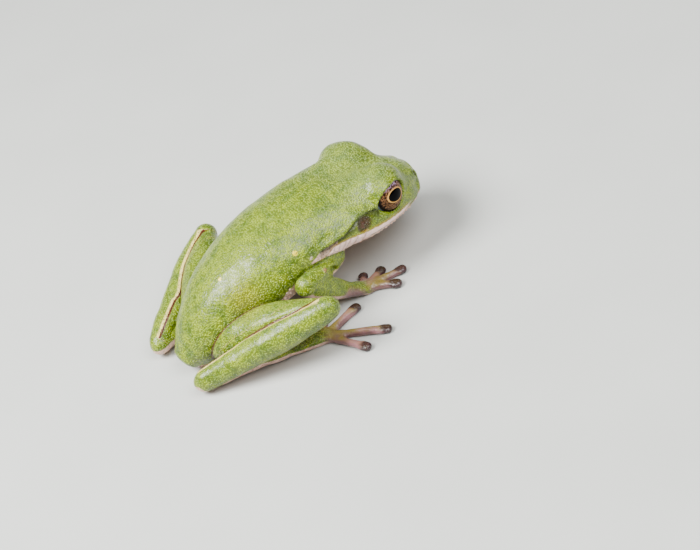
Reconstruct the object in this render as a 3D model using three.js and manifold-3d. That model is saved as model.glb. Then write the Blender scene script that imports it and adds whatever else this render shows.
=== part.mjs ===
// Life-size still model of a young American green tree frog (Dryophytes cinereus),
// sitting with its hind legs folded and its head and chest raised on its arms.
// Millimetres. +X runs forward, +Y to the frog's left and +Z up; it rests on Z = 0.
// The frog is laid out from the point of the floor under its vent, and the last
// group moves the middle of its length and breadth to the origin.

import * as THREE from "three";
import { mergeVertices } from "three/addons/utils/BufferGeometryUtils.js";
import Module from "manifold-3d";

const wasm = await Module();
wasm.setup();

// ---------------------------------------------------------------- driving sizes

const CENTRE_X = 23.2; // middle of the whole length, forward of the vent
const CENTRE_Y = 1.1; // middle of the whole breadth, left of the spine
const GAP = 0.3; // clearance between neighbouring solids

const VENT_HEIGHT = 2.9;
const TRUNK_LENGTH = 31.4; // vent to the nape
const TRUNK_RISE = 19.4; // degrees that the spine climbs forward
const HEAD_DIP = 14.3; // degrees that the head dips below level
const HEAD_TURN = 2.1; // degrees that the head turns to the left

const EYE_RADIUS = 3.4;
const EYE_FORWARD = 10.1; // eye centre, from the nape, in the head's own axes
const EYE_OUT = 6.6;
const EYE_UP = 3.45;
const MOUTH_FRONT = 19.2; // foremost point of the mouth slit
const MOUTH_CORNER = 1.2; // where the slit ends, below the eardrum
const MOUTH_DROP = 1.5; // height of the slit below the head's axis, at the corner

const DIGIT_HEIGHT = 0.6; // centre line of a finger or toe above the floor
const DIGIT_RADIUS = 0.74;
const DISC_RADIUS = 0.95; // round adhesive disc at each tip
const WEB_THICKNESS = 0.5;

// Trunk sections along the spine: forward of the vent, rise of the centre,
// half breadth, height above the centre, depth below it.
const TRUNK_SECTIONS = [
  [-0.4, 0.0, 2.6, 2.0, 2.3],
  [2.9, 0.6, 5.0, 3.7, 5.5],
  [7.6, 1.8, 6.8, 5.1, 8.0],
  [13.3, 2.6, 8.2, 6.1, 7.9],
  [19.0, 2.4, 9.5, 6.5, 7.2],
  [24.7, 1.5, 10.0, 6.6, 7.1],
  [29.5, 0.4, 9.3, 5.9, 6.1],
  [33.3, -0.9, 7.4, 3.6, 4.4],
];

// Head sections along the head's own axis, measured forward from the nape.
const HEAD_SECTIONS = [
  [-4.2, -1.2, 8.2, 4.6, 4.2],
  [0.8, 0.0, 10.1, 5.8, 5.0],
  [6.2, 0.0, 10.2, 5.8, 4.5],
  [11.1, 0.0, 8.9, 5.6, 4.0],
  [15.2, 0.0, 7.0, 5.1, 3.2],
  [17.5, 0.0, 5.5, 4.4, 2.7],
  [18.9, 0.0, 4.1, 3.5, 2.2],
];

// Limb joints. The hind legs are folded, knee forward and heel beside the vent.
const RIGHT = {
  name: "right",
  side: -1,
  hip: [5.8, -3.8, 4.6],
  knee: [20.4, -18.9, 10.2],
  heel: [-1.5, -7.2, 2.3],
  sole: [19.6, -12.9, 1.0],
  shoulder: [27.4, -7.2, 9.2],
  elbow: [20.6, -10.8, 10.1],
  wrist: [28.1, -8.1, 2.3],
};
const LEFT = {
  name: "left",
  side: 1,
  hip: [5.8, 3.8, 4.6],
  knee: [17.5, 22.2, 6.1],
  heel: [-2.3, 7.3, 2.3],
  sole: [18.4, 12.4, 1.0],
  shoulder: [27.4, 7.2, 9.2],
  elbow: [20.9, 10.9, 9.6],
  wrist: [28.4, 8.4, 2.3],
};

// Digits fan out from the end of the sole or palm: bearing outward from straight
// ahead in degrees, and length of the free part. The first digit is the inner one.
const TOES = [
  { bearing: -72, length: 4.6, back: 2.4 },
  { bearing: -46, length: 6.6, back: 0.9 },
  { bearing: -14, length: 8.8, back: 0.0 },
  { bearing: 41, length: 12.0, back: 0.0 },
  { bearing: 67, length: 9.8, back: 0.0 },
];
const FINGERS = [
  { bearing: -58, length: 4.4, back: 0.9 },
  { bearing: -24, length: 5.6, back: 0.2 },
  { bearing: 8, length: 7.6, back: 0.0 },
  { bearing: 40, length: 6.4, back: 0.2 },
];
const PALM_LENGTH = 3.2;
const WEB_REACH = 0.45; // share of each toe's length that the web joins

// -------------------------------------------------------------------- materials

function matte(color, roughness) {
  return new THREE.MeshStandardMaterial({ color, roughness, metalness: 0 });
}

const BACK_GREEN = matte(0x9db83a, 0.55);
const LIMB_GREEN = matte(0x8fb036, 0.55);
const BELLY_CREAM = matte(0xe3d6c0, 0.6);
const DIGIT_MAUVE = matte(0x8d7464, 0.5);
const EYE_BRONZE = matte(0x5a4430, 0.15);

// ----------------------------------------------------------------- shape making

// Values between a row of stations, by a curve that passes through every one.
function smoothRows(stations, steps) {
  const rows = [];
  const last = stations.length - 1;
  const extended = [
    stations[0].map((value, k) => 2 * value - stations[1][k]),
    ...stations,
    stations[last].map((value, k) => 2 * value - stations[last - 1][k]),
  ];
  for (let span = 0; span < last; span += 1) {
    const [before, start, end, after] = extended.slice(span, span + 4);
    const count = span === last - 1 ? steps + 1 : steps;
    for (let step = 0; step < count; step += 1) {
      const t = step / steps;
      rows.push(start.map((value, k) => (
        0.5 * (2 * value + (end[k] - before[k]) * t
          + (2 * before[k] - 5 * value + 4 * end[k] - after[k]) * t * t
          + (3 * value - before[k] - 3 * end[k] + after[k]) * t * t * t)
      )));
    }
  }
  return rows;
}

// Closed solid with round ends through stations [x, y, z, half breadth, height
// above the centre, depth below it]. `across` points along the half breadth, and
// `grow` thickens the solid evenly, for cutting a clearance into a neighbour, and
// `bulge` is how far its ends dome out, as a share of their own radius.
function loft(stations, across, { around = 10, steps = 2, grow = 0, bulge = 1 } = {}) {
  const rows = smoothRows(stations, steps);
  const centres = rows.map((row) => new THREE.Vector3(row[0], row[1], row[2]));
  const rings = rows.map((row, i) => {
    const next = centres[Math.min(i + 1, centres.length - 1)];
    const previous = centres[Math.max(i - 1, 0)];
    const along = next.clone().sub(previous).normalize();
    return { centre: centres[i], along, size: row.slice(3).map((value) => value + grow) };
  });
  const domeSteps = around < 10 ? [50] : [35, 65];
  const reach = (ring) => (bulge * (ring.size[0] + ring.size[1] + ring.size[2])) / 3;
  const domed = [
    ...dome(rings[0], -reach(rings[0]), domeSteps).reverse(),
    ...rings,
    ...dome(rings.at(-1), reach(rings.at(-1)), domeSteps),
  ];
  const poles = [
    rings[0].centre.clone().addScaledVector(rings[0].along, -reach(rings[0])),
    rings.at(-1).centre.clone().addScaledVector(rings.at(-1).along, reach(rings.at(-1))),
  ];
  const positions = [];
  for (const ring of domed) {
    const sideways = across.clone().addScaledVector(ring.along, -across.dot(ring.along)).normalize();
    const upward = ring.along.clone().cross(sideways);
    const [breadth, above, below] = ring.size;
    for (let k = 0; k < around; k += 1) {
      const angle = (2 * Math.PI * k) / around;
      const height = Math.sin(angle) > 0 ? above : below;
      const point = ring.centre.clone()
        .addScaledVector(sideways, breadth * Math.cos(angle))
        .addScaledVector(upward, height * Math.sin(angle));
      positions.push(...point.toArray());
    }
  }
  positions.push(...poles[0].toArray(), ...poles[1].toArray());
  const triangles = [];
  const startPole = domed.length * around;
  const lastRing = (domed.length - 1) * around;
  for (let k = 0; k < around; k += 1) {
    const next = (k + 1) % around;
    triangles.push(startPole, next, k);
    triangles.push(startPole + 1, lastRing + k, lastRing + next);
    for (let ring = 0; ring < lastRing; ring += around) {
      triangles.push(ring + k, ring + next, ring + around + next);
      triangles.push(ring + k, ring + around + next, ring + around + k);
    }
  }
  const geometry = new THREE.BufferGeometry();
  geometry.setAttribute("position", new THREE.Float32BufferAttribute(positions, 3));
  geometry.setIndex(triangles);
  return solid(geometry);
}

// Shrinking rings that round off the end of a loft, at these angles of its dome.
function dome(ring, reach, domeSteps) {
  return domeSteps.map((degrees) => {
    const angle = THREE.MathUtils.degToRad(degrees);
    return {
      centre: ring.centre.clone().addScaledVector(ring.along, reach * Math.sin(angle)),
      along: ring.along,
      size: ring.size.map((value) => value * Math.cos(angle)),
    };
  });
}

// A three.js geometry as a manifold solid, its shared vertices merged.
function solid(geometry) {
  geometry.deleteAttribute("normal");
  geometry.deleteAttribute("uv");
  const merged = mergeVertices(geometry, 1e-5);
  return new wasm.Manifold(new wasm.Mesh({
    numProp: 3,
    vertProperties: new Float32Array(merged.getAttribute("position").array),
    triVerts: new Uint32Array(merged.getIndex().array),
  }));
}

function ball(centre, radii, grow = 0) {
  const geometry = new THREE.SphereGeometry(1, 14, 10);
  geometry.scale(radii[0] + grow, radii[1] + grow, radii[2] + grow);
  geometry.translate(...centre);
  return solid(geometry);
}

function between(start, end, share) {
  return start.map((value, k) => value + (end[k] - value) * share);
}

function minusAll(shape, cutters) {
  return cutters.reduce((rest, cutter) => rest.subtract(cutter), shape);
}

// Everything below the floor is taken off, which leaves the small flats it rests on.
const FLOOR_DEPTH = 20;
const FLOOR_BREADTH = 160;
const floorGeometry = new THREE.BoxGeometry(FLOOR_BREADTH, FLOOR_BREADTH, FLOOR_DEPTH);
floorGeometry.translate(0, 0, -FLOOR_DEPTH / 2);
const belowFloor = solid(floorGeometry);

const frog = new THREE.Group();
frog.position.set(-CENTRE_X, -CENTRE_Y, 0);

function addPart(name, shape, material) {
  const trimmed = shape.subtract(belowFloor);
  const data = trimmed.getMesh();
  const geometry = new THREE.BufferGeometry();
  geometry.setAttribute("position", new THREE.BufferAttribute(data.vertProperties, 3));
  geometry.setIndex(new THREE.BufferAttribute(data.triVerts, 1));
  geometry.computeVertexNormals();
  const mesh = new THREE.Mesh(geometry, material.clone());
  mesh.name = name;
  frog.add(mesh);
}

// ---------------------------------------------------------------- head and trunk

const ventPoint = new THREE.Vector3(0, 0, VENT_HEIGHT);
const trunkTilt = new THREE.Euler(0, THREE.MathUtils.degToRad(-TRUNK_RISE), 0);
const trunkAxes = new THREE.Matrix4().makeRotationFromEuler(trunkTilt).setPosition(ventPoint);
const napePoint = new THREE.Vector3(TRUNK_LENGTH, 0, 0).applyMatrix4(trunkAxes);
const headTilt = new THREE.Euler(
  0,
  THREE.MathUtils.degToRad(HEAD_DIP),
  THREE.MathUtils.degToRad(HEAD_TURN),
  "ZYX",
);
const headAxes = new THREE.Matrix4().makeRotationFromEuler(headTilt).setPosition(napePoint);

function placed(axes, forward, left, up) {
  return new THREE.Vector3(forward, left, up).applyMatrix4(axes).toArray();
}

function leftOf(axes) {
  return new THREE.Vector3(0, 1, 0).transformDirection(axes);
}

function sectionedBody(sections, axes, options) {
  const stations = sections.map(([forward, rise, ...size]) => [
    ...placed(axes, forward, 0, rise),
    ...size,
  ]);
  return loft(stations, leftOf(axes), options);
}

// A block right across the body whose outline, seen from the side, runs through
// these points [forward, up]. It parts the head from the trunk and from the jaw.
function prism(outline, halfBreadth, axes) {
  const shape = new THREE.Shape(outline.map(([forward, up]) => new THREE.Vector2(forward, up)));
  const geometry = new THREE.ExtrudeGeometry(shape, { depth: 2 * halfBreadth, bevelEnabled: false });
  geometry.rotateX(Math.PI / 2);
  geometry.translate(0, halfBreadth, 0);
  geometry.applyMatrix4(axes);
  return solid(geometry);
}

// The upper lid hoods each eye, and a longer brow carries it into the crown.
const LID_RADII = [4.2, 3.9, 3.8];
const BROW_RADII = [7.6, 3.6, 3.5];
function headBall(forward, left, up, radii, grow) {
  return ball(placed(headAxes, forward, left, up), radii, grow);
}

const BODY_SHAPE = { around: 18, steps: 2, bulge: 0.4 };
function bodyShape(grow) {
  const trunk = sectionedBody(TRUNK_SECTIONS, trunkAxes, { ...BODY_SHAPE, grow });
  const head = sectionedBody(HEAD_SECTIONS, headAxes, { ...BODY_SHAPE, grow });
  const lids = [-1, 1].flatMap((side) => [
    headBall(EYE_FORWARD + 0.2, side * (EYE_OUT - 1.25), EYE_UP + 0.55, LID_RADII, grow),
    headBall(EYE_FORWARD - 2.8, side * (EYE_OUT - 2.45), EYE_UP - 0.3, BROW_RADII, grow),
  ]);
  return lids.reduce((sum, lid) => sum.add(lid), trunk.add(head));
}

function eyeShape(side, grow) {
  return headBall(EYE_FORWARD, side * EYE_OUT, EYE_UP, Array(3).fill(EYE_RADIUS), grow);
}

const BEYOND = 30; // reach of a cutting block past the body
function aheadOfNape(offset) {
  return prism([
    [offset, -BEYOND], [BEYOND, -BEYOND], [BEYOND, BEYOND], [offset, BEYOND],
  ], BEYOND, headAxes);
}
function underMouth(offset) {
  return prism([
    [MOUTH_CORNER - offset, -BEYOND],
    [BEYOND, -BEYOND],
    [BEYOND, -0.9 + offset],
    [MOUTH_FRONT, -0.9 + offset],
    [MOUTH_CORNER - offset, -MOUTH_DROP + offset],
  ], BEYOND, headAxes);
}

const wholeBody = minusAll(bodyShape(0), [eyeShape(-1, GAP), eyeShape(1, GAP)]);
const cleared = bodyShape(GAP);
addPart("trunk", wholeBody.subtract(aheadOfNape(-GAP / 2)), BACK_GREEN);
addPart("head", wholeBody.intersect(aheadOfNape(GAP / 2)).subtract(underMouth(GAP / 2)), BACK_GREEN);
addPart("lower_jaw", wholeBody.intersect(underMouth(-GAP / 2)), BELLY_CREAM);
addPart("eye_right", eyeShape(-1, 0), EYE_BRONZE);
addPart("eye_left", eyeShape(1, 0), EYE_BRONZE);

// ------------------------------------------------------------------------ limbs

// Sections of a limb: share of the way from one joint to the next, then half
// breadth, height above and depth below. Shares past 0 and 1 wrap the joints.
const THIGH = [[-0.12, 2.8, 2.8, 2.4], [0.08, 3.6, 3.6, 3.4], [0.38, 3.9, 3.7, 3.5],
  [0.7, 3.1, 2.9, 2.8], [0.93, 2.0, 1.9, 1.8]];
const SHANK = [[0.01, 2.0, 2.0, 2.0], [0.16, 2.5, 2.5, 2.4], [0.38, 2.8, 2.8, 2.6],
  [0.7, 2.4, 2.4, 2.2], [0.95, 1.9, 2.0, 1.9]];
const TARSUS = [[0.02, 1.6, 1.6, 1.7], [0.2, 1.4, 1.4, 1.5], [0.45, 1.3, 1.2, 1.2],
  [0.64, 1.4, 1.1, 1.1]];
const SOLE = [[0.6, 1.4, 1.1, 1.1], [0.8, 1.7, 1.0, 1.3], [1.0, 1.7, 0.8, 1.3]];
const UPPER_ARM = [[-0.1, 2.0, 2.0, 2.0], [0.35, 2.2, 2.2, 2.2], [0.75, 2.1, 2.1, 2.1],
  [1.0, 1.9, 1.9, 1.9]];
const FOREARM = [[0.0, 1.8, 1.9, 1.9], [0.25, 2.1, 2.1, 2.1], [0.6, 1.9, 1.9, 1.9],
  [0.95, 1.3, 1.3, 1.3]];
const PALM = [[-0.1, 1.2, 1.1, 1.3], [0.45, 1.7, 0.9, 1.4], [1.0, 1.7, 0.7, 1.3]];

function limb(start, end, sections, options) {
  const direction = new THREE.Vector3(...end).sub(new THREE.Vector3(...start));
  const across = new THREE.Vector3(0, 0, 1).cross(direction).normalize();
  const stations = sections.map(([share, ...size]) => [...between(start, end, share), ...size]);
  return loft(stations, across, options);
}

// Root, bearing and tip of each digit of a fan that spreads from `root`.
function fan(digits, root, side) {
  return digits.map(({ bearing, length, back }) => {
    const angle = side * THREE.MathUtils.degToRad(bearing);
    const direction = [Math.cos(angle), Math.sin(angle), 0];
    const start = [root[0] - back * 0.9, root[1] - side * back * 0.35, DIGIT_HEIGHT];
    const tip = start.map((value, k) => value + direction[k] * (length - DISC_RADIUS));
    return { start, tip };
  });
}

function digit({ start, tip }, grow = 0) {
  const r = DIGIT_RADIUS;
  return limb(start, tip, [
    [-0.05, r * 1.25, r * 1.1, r * 1.1],
    [0.35, r, r, r],
    [0.72, r * 0.92, r * 0.85, r],
    [0.9, DISC_RADIUS, r * 0.8, r],
    [1.0, DISC_RADIUS, r * 0.75, r],
  ], { around: 7, steps: 1, grow });
}

// Thin web from the fork of two toes to a share of each, kept clear of the
// second toe because it grows from the first.
function web(first, second) {
  const fork = between(first.start, second.start, 0.5);
  const onFirst = between(first.start, first.tip, WEB_REACH);
  const onSecond = between(second.start, second.tip, WEB_REACH);
  const middle = between(between(onFirst, onSecond, 0.5), fork, 0.35);
  const outline = [fork, onFirst, middle, onSecond].map(([x, y]) => new THREE.Vector2(x, y));
  if (THREE.ShapeUtils.isClockWise(outline)) outline.reverse();
  const geometry = new THREE.ExtrudeGeometry(new THREE.Shape(outline), {
    depth: WEB_THICKNESS,
    bevelEnabled: false,
  });
  geometry.translate(0, 0, 0.15);
  return solid(geometry);
}

function largest(shape) {
  return shape.decompose().sort((a, b) => b.volume() - a.volume())[0];
}

function hindLeg({ name, side, hip, knee, heel, sole }) {
  const shank = limb(knee, heel, SHANK).subtract(cleared);
  const shankCleared = limb(knee, heel, SHANK, { grow: GAP });
  const thigh = largest(minusAll(limb(hip, knee, THIGH), [cleared, shankCleared]));
  const thighCleared = limb(hip, knee, THIGH, { grow: GAP });
  const higher = [cleared, shankCleared, thighCleared];
  addPart(`thigh_${name}`, thigh, LIMB_GREEN);
  addPart(`shank_${name}`, shank, LIMB_GREEN);

  const soleCleared = limb(heel, sole, SOLE, { steps: 1, grow: GAP });
  const tarsus = minusAll(limb(heel, sole, TARSUS, { steps: 1 }), [...higher, soleCleared]);
  addPart(`tarsus_${name}`, largest(tarsus), LIMB_GREEN);
  addPart(`foot_${name}`, largest(minusAll(limb(heel, sole, SOLE, { steps: 1 }), higher)), DIGIT_MAUVE);

  const toes = fan(TOES, sole, side);
  let taken = [soleCleared];
  toes.forEach((toe, i) => {
    const webbed = i === 0 || i === 1 ? digit(toe) : digit(toe).add(web(toe, toes[i - 1]));
    const shape = minusAll(webbed, taken);
    addPart(`toe_${i + 1}_${name}`, largest(shape), DIGIT_MAUVE);
    taken = [...taken, digit(toe, GAP)];
  });
}

function arm({ name, side, shoulder, elbow, wrist }) {
  const palmEnd = [wrist[0] + PALM_LENGTH, wrist[1] + side * 0.2, 0.95];
  const upper = limb(shoulder, elbow, UPPER_ARM).subtract(cleared);
  const upperCleared = limb(shoulder, elbow, UPPER_ARM, { grow: GAP });
  const fore = minusAll(limb(elbow, wrist, FOREARM), [cleared, upperCleared]);
  const foreCleared = limb(elbow, wrist, FOREARM, { grow: GAP });
  const palmCleared = limb(wrist, palmEnd, PALM, { steps: 1, grow: GAP });
  addPart(`upper_arm_${name}`, largest(upper), LIMB_GREEN);
  addPart(`forearm_${name}`, largest(fore), LIMB_GREEN);
  const palm = limb(wrist, palmEnd, PALM, { steps: 1 }).subtract(foreCleared);
  addPart(`hand_${name}`, largest(palm), DIGIT_MAUVE);

  let taken = [palmCleared, foreCleared];
  fan(FINGERS, palmEnd, side).forEach((finger, i) => {
    addPart(`finger_${i + 1}_${name}`, largest(minusAll(digit(finger), taken)), DIGIT_MAUVE);
    taken = [...taken, digit(finger, GAP)];
  });
}

[RIGHT, LEFT].forEach((joints) => {
  hindLeg(joints);
  arm(joints);
});

const model = new THREE.Group();
model.add(frog);
export default model;
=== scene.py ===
import math

import bpy
import numpy as np
import openvdb
from mathutils import Euler, Matrix, Vector


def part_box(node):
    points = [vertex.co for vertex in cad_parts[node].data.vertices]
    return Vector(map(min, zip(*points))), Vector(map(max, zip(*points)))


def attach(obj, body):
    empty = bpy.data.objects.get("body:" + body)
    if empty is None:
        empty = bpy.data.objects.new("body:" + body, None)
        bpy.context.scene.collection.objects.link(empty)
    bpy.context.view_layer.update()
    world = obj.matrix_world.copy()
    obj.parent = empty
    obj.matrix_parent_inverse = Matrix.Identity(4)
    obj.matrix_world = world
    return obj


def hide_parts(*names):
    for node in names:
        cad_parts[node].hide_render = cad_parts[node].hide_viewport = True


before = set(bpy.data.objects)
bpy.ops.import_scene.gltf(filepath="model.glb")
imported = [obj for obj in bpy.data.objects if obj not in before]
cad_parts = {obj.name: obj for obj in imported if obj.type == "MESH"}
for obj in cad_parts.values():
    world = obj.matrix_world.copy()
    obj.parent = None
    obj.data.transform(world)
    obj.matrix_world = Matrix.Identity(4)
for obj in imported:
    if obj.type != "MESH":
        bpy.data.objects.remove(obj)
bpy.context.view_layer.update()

# ---------------------------------------------------------------------------- camera
# A long lens on a tripod, to the frog's right and above it. The camera is rolled on its
# side, so that the frog's back climbs steeply across the picture.

MM = 0.001
CAMERA_AZIMUTH = -18.404  # degrees round the frog, from its right side towards its tail
CAMERA_HEIGHT = 37.321  # degrees above the floor
CAMERA_ROLL = -21.906
CAMERA_DISTANCE = 400.0  # mm
CAMERA_AIM = Vector((-1.2, -1.1, 9.0))  # mm, a point inside the chest
CAMERA_SLIDE = (11.22, -2.64)  # mm that the camera is moved sideways and up, unturned
LENS_LENGTH = 122.28  # mm, on a sensor 36 mm wide

azimuth, height = math.radians(CAMERA_AZIMUTH), math.radians(CAMERA_HEIGHT)
backwards = Vector((
    math.sin(azimuth) * math.cos(height),
    -math.cos(azimuth) * math.cos(height),
    math.sin(height),
))
level_right = Vector((math.cos(azimuth), math.sin(azimuth), 0))
rolled = Matrix.Rotation(math.radians(CAMERA_ROLL), 3, backwards)
camera_right = rolled @ level_right
camera_up = rolled @ backwards.cross(level_right)
camera_place = (
    CAMERA_AIM
    + CAMERA_DISTANCE * backwards
    + CAMERA_SLIDE[0] * camera_right
    + CAMERA_SLIDE[1] * camera_up
)
camera_data = bpy.data.cameras.new("camera")
camera_data.lens = LENS_LENGTH
camera_data.sensor_fit = "HORIZONTAL"
camera_data.clip_start = 0.01
camera = bpy.data.objects.new("camera", camera_data)
camera.matrix_world = Matrix.Translation(camera_place * MM) @ Matrix((
    camera_right, camera_up, backwards,
)).transposed().to_4x4()
bpy.context.scene.collection.objects.link(camera)
bpy.context.scene.camera = camera

# ---------------------------------------------------------------------- studio floor
# A sheet of pale matte board, with faint mottling from its paper surface. It is the
# studio's floor and no part of the frog.

FLOOR_SIZE = 3.0  # m
FLOOR_COLOURS = ("#AEB0AB", "#B8BAB5")
FLOOR_MOTTLE = 25.0  # mm


def linear(hex_colour):
    """A colour written as sRGB hex, as linear RGBA."""
    channels = [int(hex_colour[k:k + 2], 16) / 255 for k in (1, 3, 5)]
    return tuple(
        c / 12.92 if c <= 0.04045 else ((c + 0.055) / 1.055) ** 2.4 for c in channels
    ) + (1.0,)


def add(tree, kind, inputs=None, **settings):
    """One node of a tree, with its settings, and its inputs set or linked."""
    made = tree.nodes.new(kind)
    for name, value in settings.items():
        setattr(made, name, value)
    for key, value in (inputs or {}).items():
        if isinstance(value, bpy.types.NodeSocket):
            tree.links.new(value, made.inputs[key])
        else:
            made.inputs[key].default_value = value
    return made


def new_material(name):
    """An empty material and its node tree."""
    material = bpy.data.materials.new(name)
    material.use_nodes = True
    material.node_tree.nodes.clear()
    return material, material.node_tree


# Matte paper board: soft light falls off evenly, with no glare under the frog.
board, board_tree = new_material("matte_paper_board")
board_place = add(board_tree, "ShaderNodeTexCoord").outputs["Object"]
board_noise = add(board_tree, "ShaderNodeTexNoise", {
    "Vector": board_place, "Scale": 1 / (FLOOR_MOTTLE * MM),
})
board_colour = add(board_tree, "ShaderNodeMix", {
    0: board_noise.outputs["Fac"], 6: linear(FLOOR_COLOURS[0]), 7: linear(FLOOR_COLOURS[1]),
}, data_type="RGBA").outputs[2]
board_shader = add(board_tree, "ShaderNodeBsdfPrincipled", {
    "Base Color": board_colour, "Roughness": 0.85,
})
add(board_tree, "ShaderNodeOutputMaterial", {"Surface": board_shader.outputs["BSDF"]})
floor_mesh = bpy.data.meshes.new("floor")
half = FLOOR_SIZE / 2
floor_mesh.from_pydata(
    [(-half, -half, 0), (half, -half, 0), (half, half, 0), (-half, half, 0)], [], [(0, 1, 2, 3)]
)
floor_mesh.materials.append(board)
floor = bpy.data.objects.new("floor", floor_mesh)
bpy.context.scene.collection.objects.link(floor)

# -------------------------------------------------------------------- studio lights
# One broad soft box high up behind the frog's left shoulder, a weaker one beside the
# camera, and a pale room that fills the shadows.

SOFT_BOXES = [
    # name, place (m), aim (m), width (m), power (W)
    ("key_light", (-0.26, 0.02, 0.36), (0.0, 0.0, 0.01), 0.25, 7.0),
    ("fill_light", (0.08, -0.26, 0.42), (0.0, 0.0, 0.01), 0.42, 4.2),
]
ROOM_COLOUR = "#E9EEF2"
ROOM_STRENGTH = 0.14

for name, place, aim, width, power in SOFT_BOXES:
    light = bpy.data.lights.new(name, "AREA")
    light.shape = "DISK"
    light.size = width
    light.energy = power
    lamp = bpy.data.objects.new(name, light)
    lamp.location = place
    lamp.rotation_euler = (Vector(place) - Vector(aim)).to_track_quat("Z", "Y").to_euler()
    bpy.context.scene.collection.objects.link(lamp)
room = bpy.data.worlds.new("room")
room.use_nodes = True
room.node_tree.nodes["Background"].inputs["Color"].default_value = linear(ROOM_COLOUR)
room.node_tree.nodes["Background"].inputs["Strength"].default_value = ROOM_STRENGTH
bpy.context.scene.world = room

# ------------------------------------------------------------------------------ skin
# The frog's whole skin, from the lids to the toe discs: thin, moist and finely granular,
# drawn over flesh and bone with no seam. It is shaped as one block of distances, in which
# every part melts into the next at its joint and only presses on the rest. Millimetres.

ORIGIN = np.array([23.2, 1.1, 0.0])  # middle of the frog, from the floor under its vent
VENT_HEIGHT = 2.9
TRUNK_LENGTH = 31.4
TRUNK_RISE = 19.4  # degrees that the spine climbs forward
HEAD_DIP = 14.3
HEAD_TURN = 2.1

# Trunk and head sections: forward, rise of the centre, half breadth, above, below.
TRUNK_SECTIONS = [
    (-0.4, 0.0, 2.6, 2.0, 2.3),
    (2.9, 0.6, 5.0, 3.7, 5.5),
    (7.6, 1.8, 6.8, 5.1, 8.0),
    (13.3, 2.6, 8.2, 6.1, 7.9),
    (19.0, 2.4, 9.5, 6.5, 7.2),
    (24.7, 1.5, 10.0, 6.6, 7.1),
    (29.5, 0.4, 9.3, 5.9, 6.1),
    (33.3, -0.9, 7.4, 3.6, 4.4),
]
HEAD_SECTIONS = [
    (-4.2, -1.2, 8.2, 4.6, 4.2),
    (0.8, 0.0, 10.1, 5.8, 5.0),
    (6.2, 0.0, 10.2, 5.8, 4.5),
    (11.1, 0.0, 8.9, 5.6, 4.0),
    (15.2, 0.0, 7.0, 5.1, 3.2),
    (17.5, 0.0, 5.5, 4.4, 2.7),
    (18.9, 0.0, 4.1, 3.5, 2.2),
]

VOXEL = 0.2  # edge of one cell of the block (mm, as are the next two)
REACH = 2.4  # distances are kept this far from a surface
MARGIN = 2.8  # empty space round the frog

node_boxes = np.array([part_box(name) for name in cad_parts]) / MM + ORIGIN
block_low = np.floor((node_boxes[:, 0].min(0) - MARGIN) / VOXEL).astype(int)
block_high = np.ceil((node_boxes[:, 1].max(0) + MARGIN) / VOXEL).astype(int)
block_shape = tuple(block_high - block_low + 1)


def window(low, high):
    """The cells of the block from one corner (mm) to another, and their coordinates."""
    first = np.clip(np.floor(np.array(low) / VOXEL).astype(int), block_low, block_high)
    last = np.clip(np.ceil(np.array(high) / VOXEL).astype(int), block_low, block_high)
    cells = tuple(slice(a, b + 1) for a, b in zip(first - block_low, last - block_low))
    axes = [np.arange(a, b + 1, dtype=np.float32) * VOXEL for a, b in zip(first, last)]
    return cells, np.meshgrid(*axes, indexing="ij", sparse=True)


def between_rows(rows, steps):
    """Rows of values on a curve that passes through every given row."""
    rows = np.array(rows, float)
    ends = np.vstack([2 * rows[0] - rows[1], rows, 2 * rows[-1] - rows[-2]])
    curve = []
    for k in range(len(rows) - 1):
        before, start, end, after = ends[k:k + 4]
        for t in np.arange(steps) / steps:
            curve.append(0.5 * (
                2 * start
                + (end - before) * t
                + (2 * before - 5 * start + 4 * end - after) * t ** 2
                + (3 * start - before - 3 * end + after) * t ** 3
            ))
    return np.array(curve + [rows[-1]])


def unit(vector):
    vector = np.array(vector, float)
    return vector / np.linalg.norm(vector)


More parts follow.
